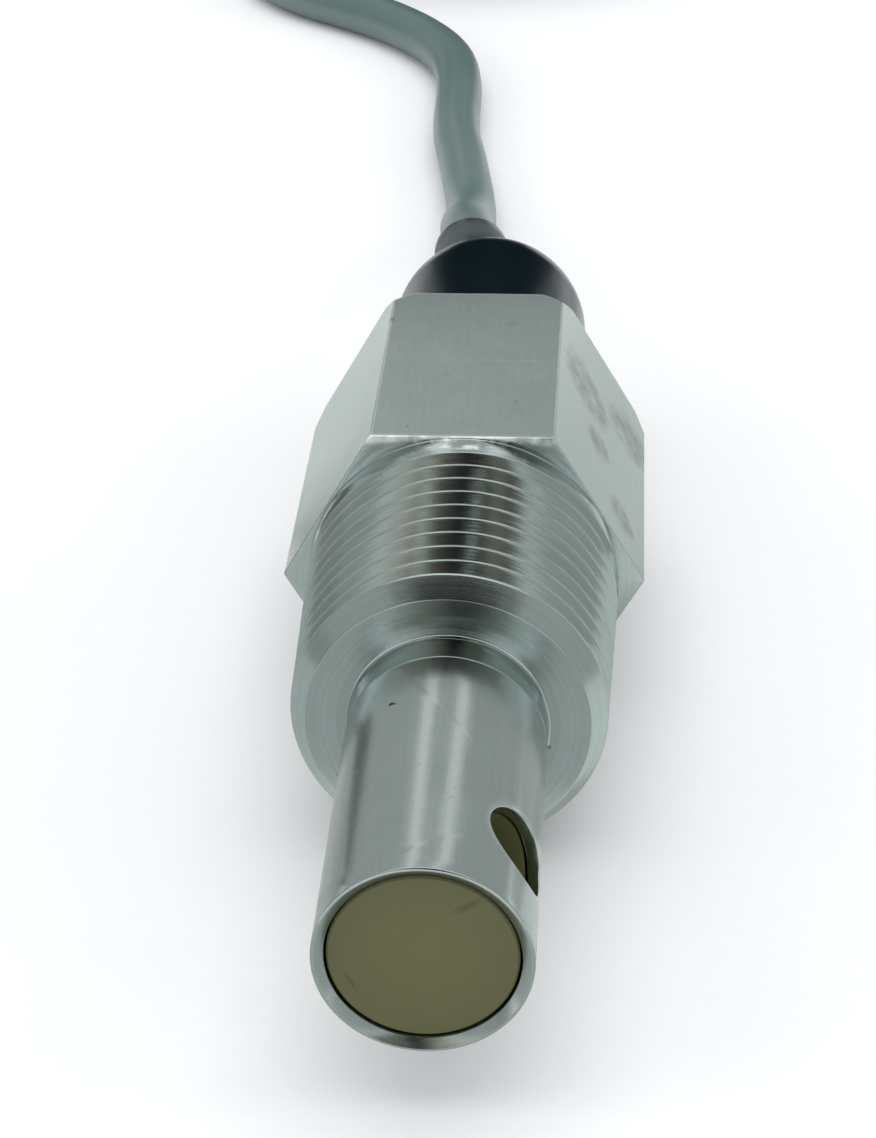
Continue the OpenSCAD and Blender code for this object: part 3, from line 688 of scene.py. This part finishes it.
class SENSOR_OT_cable(Operator):
    """Lays the cable from the boot to its coil and on to its four bare leads"""

    bl_idname = "sensor.cable"
    bl_label = "Cable, coil and leads"

    def execute(self, context):
        d = sizes()
        path = np.concatenate([through(CABLE_ROUTE, 0.0025)[:-1] * 1000, self.turns(d["coil_radius"])[:-1],
                               through(TAIL_ROUTE, 0.0025) * 1000])
        points, faces = swept(path, d["cable_diameter"] / 2, 24)
        jacket = moulded("cable_jacket", colours().jacket, 0.36, 1800.0, 0.000005, 0.12, 0.9)
        cable = piece("cable_run", points, [faces], jacket, ("cable", "cable_coil", "cable_tail"))
        on_it = [*self.leads(d["lead_diameter"] / 2), *self.straps(), self.sleeve(d["cable_diameter"] / 2)]
        dress(plain_metal("tinned_ends", (0.62, 0.61, 0.58), 0.35), "tinned_ends")
        d["cable_diameter"] / 1000
        return {"FINISHED"}

    def turns(self, outer):
        """Long coil of five layers. Each turn goes up the left, round the far end, down the right and round the
        near end of a straight middle line. Its distance from that line falls or rises by 5 mm a turn, and between
        layers it keeps the distance while it climbs 5 mm in three tenths of a turn."""
        flat, climb, pitch, lowest = 2.5, 0.3, 5.0, 3.05
        marks = np.cumsum([0] + [flat, climb] * 4 + [flat])
        inner = outer - flat * pitch
        turn = np.append(np.arange(0, marks[-1], 1 / 60), marks[-1])
        reach = np.interp(turn, marks, [outer, inner, inner, outer, outer, inner, inner, outer, outer, inner])
        height = np.interp(turn, marks, [0, 0, 1, 1, 2, 2, 3, 3, 4, 4]) * LAYER_HEIGHT + lowest
        run = COIL_FAR - COIL_NEAR
        bend = np.pi * (outer + inner) / 2
        stops = np.cumsum([0, run, bend, run, bend]) / (2 * run + 2 * bend)
        middle = np.interp(turn % 1, stops, [COIL_NEAR, COIL_FAR, COIL_FAR, COIL_NEAR, COIL_NEAR])
        angle = np.interp(turn % 1, stops, [np.pi, np.pi, 0, 0, -np.pi])
        return np.stack([COIL_X + reach * np.cos(angle), middle + reach * np.sin(angle), height], -1)

    def leads(self, radius):
        """The four insulated leads out of the sleeve."""
        made = []
        for tint, (pair, across, shade) in LEADS.items():
            name = tint + "_lead"
            points, faces = swept(through(np.column_stack([across, pair]), 0.0012) * 1000, radius, 16)
            finish = moulded(name, shade, 0.4, 3000.0)
            made.append(piece(name + "_run", points, [faces], finish, (name,)))
        return made

    def straps(self):
        """The two rubber straps: a round-cornered loop swept fourteen degrees round the middle of the coil's far
        end. The band across it is flat with a small step down at either edge."""
        inner, outer, top, corner = 11.7, 30.3, 26.1, 3.0
        corners = [(outer - corner, top - corner), (inner + corner, top - corner), (inner + corner, corner),
                   (outer - corner, corner)]
        loop = np.concatenate([arc(centre, corner, 90 * k, 90 * k + 90, 9) for k, centre in enumerate(corners)])
        outwards = np.concatenate([arc((0, 0), 1, 90 * k, 90 * k + 90, 9) for k in range(4)])
        wide = np.linspace(-0.98, 0.98, 9)
        band = np.concatenate([[(-1, 0.12)], np.stack([wide, 0 * wide], -1), [(1, 0.12), (1, 0.48)],
                               np.stack([wide[::-1], 0 * wide + 0.6], -1), [(-1, 0.48)]])
        reach, height = np.moveaxis(loop[:, None] - outwards[:, None] * band[:, 1:], -1, 0)
        made = []
        for side, facing in (("left", 100), ("right", 45)):
            angle = np.radians(facing + 7 * band[:, 0])
            points = np.stack([COIL_X + reach * np.cos(angle), COIL_FAR + reach * np.sin(angle), height], -1)
            name = "strap_" + side
            made.append(piece(name, points, [lattice(len(loop), len(band), loop=True)],
                              moulded(name, (0.014, 0.014, 0.015), 0.5, 2200.0), ("coil_tie_" + side,)))
        return made

    def sleeve(self, cable):
        """The shrunk sleeve over the cable's end, turned round its last stretch."""
        across, _, height = np.array(TAIL_ROUTE[-1]) * 1000
        profile = np.concatenate([
            [(206.5, 0), (206.5, cable + 0.2)], arc((206.2, cable + 0.2), 0.3, 0, 90, 5),
            [(203, cable + 0.47), (199, cable + 0.48)], arc((194.8, cable + 0.2), 0.3, 90, 180, 5),
            [(194.5, cable - 0.02), (205.9, cable - 0.02), (205.9, 0)]])
        angle = 2 * np.pi * ROUND
        at, radius = profile[:, :1], profile[:, 1:]
        points = np.stack([across + radius * np.cos(angle), at + 0 * angle, height + radius * np.sin(angle)], -1)
        return piece("shrunk_sleeve", points, [lattice(len(profile))],
                     moulded("end_sleeve", (0.013, 0.013, 0.014), 0.42, 1500.0), ("end_sleeve",))


class SENSOR_OT_body(Operator):
    """Turns the steel body with its tapered thread and hexagon"""

    bl_idname = "sensor.body"
    bl_label = "Body, thread and hexagon"

    def execute(self, context):
        d = sizes()
        count = len(PROGRESS)
        (front, front_edge), (strip, strip_edge), (rear, rear_edge) = self.front(d), self.thread(d), self.rear(d)
        first = len(front) * count
        after = first + len(strip)
        last = after + (len(rear) - 1) * count
        j = np.arange(count)
        faces = [lattice(len(front), count), lattice(len(rear), count, after), *self.thread_faces(first, after),
                 np.stack([last + j, last + (j + 1) % count, (j + 1) % count, j], -1)]
        points = np.concatenate([front.reshape(-1, 3), strip, rear.reshape(-1, 3)])
        edge = np.concatenate([front_edge.ravel(), strip_edge, rear_edge.ravel()])
        piece("sensor_body", points, faces, turned_steel(), ("body",), edge)
        return {"FINISHED"}

    def crest(self, d, at):
        """Crest radius, growing one in thirty-two along the axis."""
        return d["crest_diameter"] / 2 + (at - 27.2) / 32

    def front(self, d):
        """Rings from the stem's bore over the spigot, neck and front face to the thread's first crest."""
        neck, face = d["tube_diameter"] / 2, d["face_diameter"] / 2
        bore = d["tube_bore"] / 2
        crest = self.crest(d, CREST_AT)
        profile = np.concatenate([
            [(CAVITY_AT, 4), (SPIGOT_AT, 4), (SPIGOT_AT, bore - 0.3), (SPIGOT_AT + 0.3, bore), (TUBE_END, bore),
             (TUBE_END, neck - 0.1)],
            arc((TUBE_END + 0.1, neck - 0.1), 0.1, 180, 90, 4),
            arc((FACE_AT - 0.25, neck + 0.25), 0.25, 270, 360, 6),
            [(FACE_AT, neck + 1.2), (FACE_AT, face - 0.1)],
            arc((FACE_AT + 0.06, face - 0.06), 0.06, 180, 127, 4),
            [(FACE_AT + 0.09, face + 0.04), (FACE_AT + 0.7, face + 0.5)],
            arc((CREST_AT + 0.01, crest - 0.3), 0.3, 127, 91.8, 8),
        ])
        edge = np.zeros(len(profile))
        edge[-16:-8] = 0.5
        edge[-8:] = 0.6
        rings = on_axis(profile[:, :1], profile[:, 1:], PROGRESS[None, :])
        return rings, np.repeat(edge[:, None], len(PROGRESS), 1)

    def thread(self, d):
        """Tapered thread as one strip wound nine turns. Across the strip, radius is crest less depth times a
        trapezoid of the way from the groove's middle, and along it the place grows by one pitch a turn. The last
        turn ends in a single row of points."""
        pitch, half_width, slope, soft = d["thread_pitch"], 0.8, 0.74, 0.045
        run_in, run_out = (0.03, 0.24), (8.42, 8.97)
        start = CREST_AT - 0.11 - pitch / 2 - 0.003

        def place(turn, across):
            at = start + pitch * (turn + across)
            way = (half_width - np.abs(across - 0.5) * pitch) / slope
            groove = 0.5 * (1 + np.sqrt(way**2 + soft**2) - np.sqrt((way - 1)**2 + soft**2))
            groove = np.maximum(groove - 0.002, 0)
            fade = smoothstep(*run_in, turn) * (1 - smoothstep(*run_out, turn))
            radius = self.crest(d, at) - d["thread_depth"] * fade * groove
            edge = np.where(groove < 0.06, 0.4, 0.0) * fade
            low = CREST_AT + 0.012 + 0.02 * across
            high = LAND_AT - 0.012 - 0.02 * (1 - across)
            return [part.ravel() for part in (np.clip(at, low, high), radius, edge, turn + 0 * at)]

        progress = np.concatenate([PROGRESS + k for k in range(THREAD_TURNS)] + [[THREAD_TURNS]])
        strip = place(progress[:, None], ACROSS_GROOVE)
        end = place(PROGRESS[1:] + THREAD_TURNS, 0)
        at, radius, edge, turn = (np.concatenate(pair) for pair in zip(strip, end))
        return on_axis(at, radius, turn % 1), edge

    def thread_faces(self, first, after):
        """Faces of the strip and the two bands that join it to the plain rings before and after it."""
        count, steps = len(PROGRESS), len(ACROSS_GROOVE)
        before, end = first - count, count * THREAD_TURNS

        def number(j, p=0):
            j, p = j + count * (p // steps), p % steps
            return np.where(j <= end, first + j * steps + p, first + end * steps + steps + j - end - 1)

        j, p = np.meshgrid(np.arange(end), np.arange(steps), indexing="ij")
        strip = np.stack([number(j, p), number(j + 1, p), number(j + 1, p + 1), number(j, p + 1)], -1).reshape(-1, 4)
        k = np.arange(count - 1)
        front = np.stack([before + k, before + k + 1, number(k + 1), number(k)], -1)
        front_seam = [before + count - 1, before, *number(0, p[0]), number(count), number(count - 1)]
        k = k[1:]
        back = np.stack([number(end + k), number(end + k + 1), after + k + 1, after + k], -1)
        tail = number(end, p[0])
        back_seam = [*tail, after, after + 1, number(end + 1)][::-1]
        closing = [number(end + count - 1), tail[-1], after, after + count - 1]
        return [strip, front, [front_seam], back, [back_seam], [closing]]

    def rear(self, d):
        """Rings from the land over the hexagon and its turned-off rear corners into its cavity."""
        half = d["across_flats"] / 2
        soft, rounding, land = 0.09, 0.22, half - 0.11
        outline = hexagon_radius(PROGRESS, half, rounding)
        over = outline - CORNER_CUT - 0.08
        scallop = HEX_END - 0.06 - (over + np.sqrt(over**2 + 0.05**2)) / 2 * np.tan(np.radians(64))
        corner = np.clip(1 - np.abs((270 - 360 * PROGRESS + 30) % 60 - 30) / 0.7, 0, 1)
        start = HEX_AT + soft
        rows = [(LAND_AT, self.crest(d, LAND_AT), 0), (LAND_AT + 0.1, land, 0.3), (44.5, land, 0), (45.2, land, 0),
                (HEX_AT - 0.12, land, 0.5), (HEX_AT - 0.04, land + 0.02, 0.9), (HEX_AT, land + 0.07, 0.5)]
        for turn in np.radians([0, 30, 60, 90]):
            inset = soft * (1 - np.sin(turn))
            rows.append((start - soft * np.cos(turn), hexagon_radius(PROGRESS, half, rounding, inset), 1))
        for way in (0.004, 0.02, 0.25, 0.5, 0.75, 0.985, 1.0):
            rubbed = np.maximum(corner * 0.8, 0.8 if way in (0.004, 1.0) else 0)
            rows.append((start + way * (scallop - start), outline, rubbed))
        for way in (0.03, 0.5, 0.97, 1.0):
            cut = outline + way * (np.minimum(outline - 0.06, CORNER_CUT) - outline)
            rows.append((scallop + way * (HEX_END - scallop), cut, 0.2))
        rows += [(at, radius, 0) for at, radius in [
            (HEX_END, 8.2), (HEX_END, CAVITY + 0.05), (HEX_END - 0.05, CAVITY), *BEAD_GROOVE[::-1],
            (CAVITY_AT, CAVITY)]]
        at, radius, edge = (np.array([part + 0 * PROGRESS for part in column]) for column in zip(*rows))
        return on_axis(at, radius, PROGRESS), edge


class SENSOR_OT_tube(Operator):
    """Draws the shield tube with its bevelled rim and the passage across it"""

    bl_idname = "sensor.tube"
    bl_label = "Shield tube"

    def execute(self, context):
        d = sizes()
        outer, bore, hole = d["tube_diameter"] / 2, d["tube_bore"] / 2, d["passage_diameter"] / 2
        halves = [self.half(outer, bore, hole, side) for side in (30, 210)]
        count = halves[0][0].shape[1]
        rim = np.concatenate([
            [(0.4, bore), (0.39, bore + 0.006), (0.03, outer - 0.236), (0, outer - 0.2), (0, outer - 0.13)],
            arc((0.13, outer - 0.13), 0.13, 180, 90, 6)])
        back = np.array([(TUBE_END, bore), (TUBE_END, outer - 0.1), (TUBE_END - 0.1, outer)])
        angle = np.radians(360 * ROUND + 30)
        rings = [self.place(line[:, 1:] * np.cos(angle), line[:, 1:] * np.sin(angle), line[:, :1] + 0 * angle)
                 for line in (rim, back)]
        points = np.concatenate([part.reshape(-1, 3) for part in (halves[0][0], halves[1][0], *rings)])
        edge = np.concatenate([np.repeat(half[1], count) for half in halves]
                              + [np.repeat([0.3, 0.3, 0.6, 1, 1, 1, 1, 1, 0.8, 0.5, 0.2, 0, 0, 0], len(ROUND))])
        rows = len(halves[0][1])
        ends = 2 * rows * count
        faces = [lattice(rows, count), lattice(rows, count, rows * count), lattice(len(rim), first=ends),
                 lattice(len(back), first=ends + len(rim) * len(ROUND))]
        piece("tube", points, faces, drawn_steel(), ("shield_tube",), edge)
        return {"FINISHED"}

    def place(self, x, up, at):
        """Points from their place across, above the axis and along it."""
        return np.stack([x, at + TIP_Y, AXIS_Z + up], -1)

    def half(self, outer, bore, hole, facing):
        """Wall of half the tube round one hole, ring by ring from the outer border to the inner one. A point is at
        angle b round the axis from the hole's middle, radius R cos b out along the hole and R sin b across it. On
        the hole's edge R sin b is hole times sin t and the place is 7 mm plus hole times cos t, and outside it b and
        the place blend to the border of the half."""
        around, along = np.radians(np.linspace(-90, 90, 49)), np.linspace(0, 1, 25)[1:-1]
        turn = np.concatenate([around, 0 * along + np.pi / 2, around[::-1], 0 * along - np.pi / 2])
        way = np.concatenate([0 * around, along, 0 * around + 1, along[::-1]])
        t = np.arctan2(outer * turn, way * 23 + 0.2 - PASSAGE_AT)[None, :]
        spread = np.array([1, 0.8, 0.62, 0.46, 0.32, 0.2, 0.11, 0.05, 0.015, 0.0])[:, None]
        soft = 0.09

        def sheet(radius, first, last, blend):
            on_edge = np.arcsin((hole + soft) * np.sin(t) / radius)
            b = on_edge + blend * (turn - on_edge)
            at = PASSAGE_AT + (hole + soft) * np.cos(t)
            return radius * np.cos(b), radius * np.sin(b), at + blend * (first + way * (last - first) - at)

        def wall(radius, ring, inwards):
            across = ring * np.sin(t)
            return np.sqrt(radius**2 - across**2) + inwards, across, PASSAGE_AT + ring * np.cos(t)

        bend = np.radians([[22.5], [45], [67.5], [90]])
        parts = [sheet(outer, 0.13, TUBE_END - 0.1, spread),
                 wall(outer, hole + soft * (1 - np.sin(bend)), -soft * (1 - np.cos(bend))),
                 wall(bore, hole + soft * (1 - np.sin(bend[::-1])), soft * (1 - np.cos(bend[::-1]))),
                 sheet(bore, 0.4, TUBE_END, spread[::-1])]
        out, across, at = (np.concatenate(p) for p in zip(*parts))
        c, s = np.cos(np.radians(facing)), np.sin(np.radians(facing))
        edge = np.concatenate([[0] * 8, [0.6], [1] * 9, [0] * 10])
        return self.place(out * c - across * s, out * s + across * c, at), edge


class SENSOR_OT_boot(Operator):
    """Moulds the rubber boot with its dome and leaning collar"""

    bl_idname = "sensor.boot"
    bl_label = "Rubber boot"

    def execute(self, context):
        d = sizes()
        outer, cable = d["boot_diameter"] / 2, d["cable_diameter"] / 2
        root, tip, fillet, reach = 4.0, 3.25, 2.8, 17.3
        touch = np.degrees(np.arcsin((root + fillet) / (outer + fillet)))
        hollow = (outer + fillet) * np.cos(np.radians(touch))
        front, low, seat, hollow_r = 62 - DOME_AT, HEX_END - DOME_AT, 84 - DOME_AT, 3.3
        profile = np.concatenate([
            [(front, hollow_r), (front, CAVITY)], np.array(BEAD_GROOVE) - (DOME_AT, 0),
            [(low + 0.02, CAVITY), (low + 0.02, outer - 0.25)],
            arc((low + 0.27, outer - 0.25), 0.25, 180, 90, 5),
            [(low + 4, outer), (-8, outer), (-0.5, outer)],
            arc((0, 0), outer, 90, touch, 26), arc((hollow, root + fillet), fillet, 180 + touch, 270, 12)[1:],
            [(13.0, 3.7), (14.2, 3.48), (15.4, 3.34), (reach - 0.3, tip)],
            arc((reach - 0.25, tip - 0.25), 0.25, 80, 0, 5),
            [(reach, cable + 0.02), (reach - 0.2, cable), (6, cable), (0, cable + 0.05), (seat, cable + 0.15),
             (seat, hollow_r)],
        ])
        along, radius = profile[:, :1], profile[:, 1:]
        lean = d["boot_lean"] * smoothstep(-0.5, 6.5, along)
        angle = np.radians(270 - 360 * ROUND[None, :])
        across, up = radius * np.cos(angle), radius * np.sin(angle)
        points = np.stack([across * np.cos(lean) - along * np.sin(lean),
                           DOME_AT + TIP_Y + along * np.cos(lean) + across * np.sin(lean), AXIS_Z + up], -1)
        piece("rubber_boot", points, [lattice(len(profile), loop=True)], boot_rubber(),
              ("cable_boot",))
        return {"FINISHED"}


class SENSOR_OT_inside(Operator):
    """Gives the holder and the pieces inside their finishes"""

    bl_idname = "sensor.inside"
    bl_label = "Holder and inner pieces"

    def execute(self, context):
        dress(holder_plastic(), "electrode_holder")
        dress(plain_metal("electrode_metal", (0.55, 0.56, 0.56), 0.3), "drive_electrode", "sense_electrode")
        dress(plain_metal("element_metal", (0.6, 0.6, 0.59), 0.25), "temperature_sensor")
        dress(moulded("seal_rubber", (0.008, 0.008, 0.008), 0.55),
              "tip_o_ring", "stem_o_ring_front", "stem_o_ring_rear")
        dress(moulded("gasket_plastic", (0.75, 0.75, 0.72), 0.6), "holder_gasket")
        dress(plain_metal("small_steel", (0.5, 0.51, 0.51), 0.35), "locating_pin", "nut_washer")
        dress(plain_metal("nut_brass", (0.6, 0.42, 0.15), 0.32), "holder_nut", "cable_crimp")
        dress(moulded("shrink_black", (0.013, 0.013, 0.014), 0.42), "splice_sleeves")
        dress(moulded("potting_resin", (0.03, 0.03, 0.032), 0.25), "potting")
        for name, tint in (("drive_lead", "white"), ("sense_lead", "black"), ("temperature_lead_a", "green"),
                           ("temperature_lead_b", "red")):
            dress(moulded(name, LEADS[tint][2], 0.4, 3000.0), name)
        return {"FINISHED"}


class SENSOR_PT_panel(Panel):
    """Sizes, colours and steps of the sensor"""

    bl_idname = "SENSOR_PT_panel"
    bl_label = "Conductivity sensor"
    bl_space_type = "VIEW_3D"
    bl_region_type = "UI"
    bl_category = "Sensor"

    def draw(self, context):
        for group in (context.scene.sensor_sizes, context.scene.sensor_colours):
            box = self.layout.box()
            for name in entries(group):
                box.prop(group, name)
        for step in STEPS:
            self.layout.operator(step.bl_idname)


STEPS = (SENSOR_OT_studio, SENSOR_OT_cable, SENSOR_OT_body, SENSOR_OT_tube, SENSOR_OT_boot, SENSOR_OT_inside)
CLASSES = (SensorSizes, SensorColours, *STEPS, SENSOR_PT_panel)


def register():
    for cls in CLASSES:
        bpy.utils.register_class(cls)
    bpy.types.Scene.sensor_sizes = PointerProperty(type=SensorSizes)
    bpy.types.Scene.sensor_colours = PointerProperty(type=SensorColours)


def unregister():
    del bpy.types.Scene.sensor_colours
    del bpy.types.Scene.sensor_sizes
    for cls in reversed(CLASSES):
        bpy.utils.unregister_class(cls)


def main():
    register()
    bpy.ops.sensor.studio()
    bpy.ops.sensor.cable()
    bpy.ops.sensor.body()
    bpy.ops.sensor.tube()
    bpy.ops.sensor.boot()
    bpy.ops.sensor.inside()


if __name__ == "__main__":
    main()
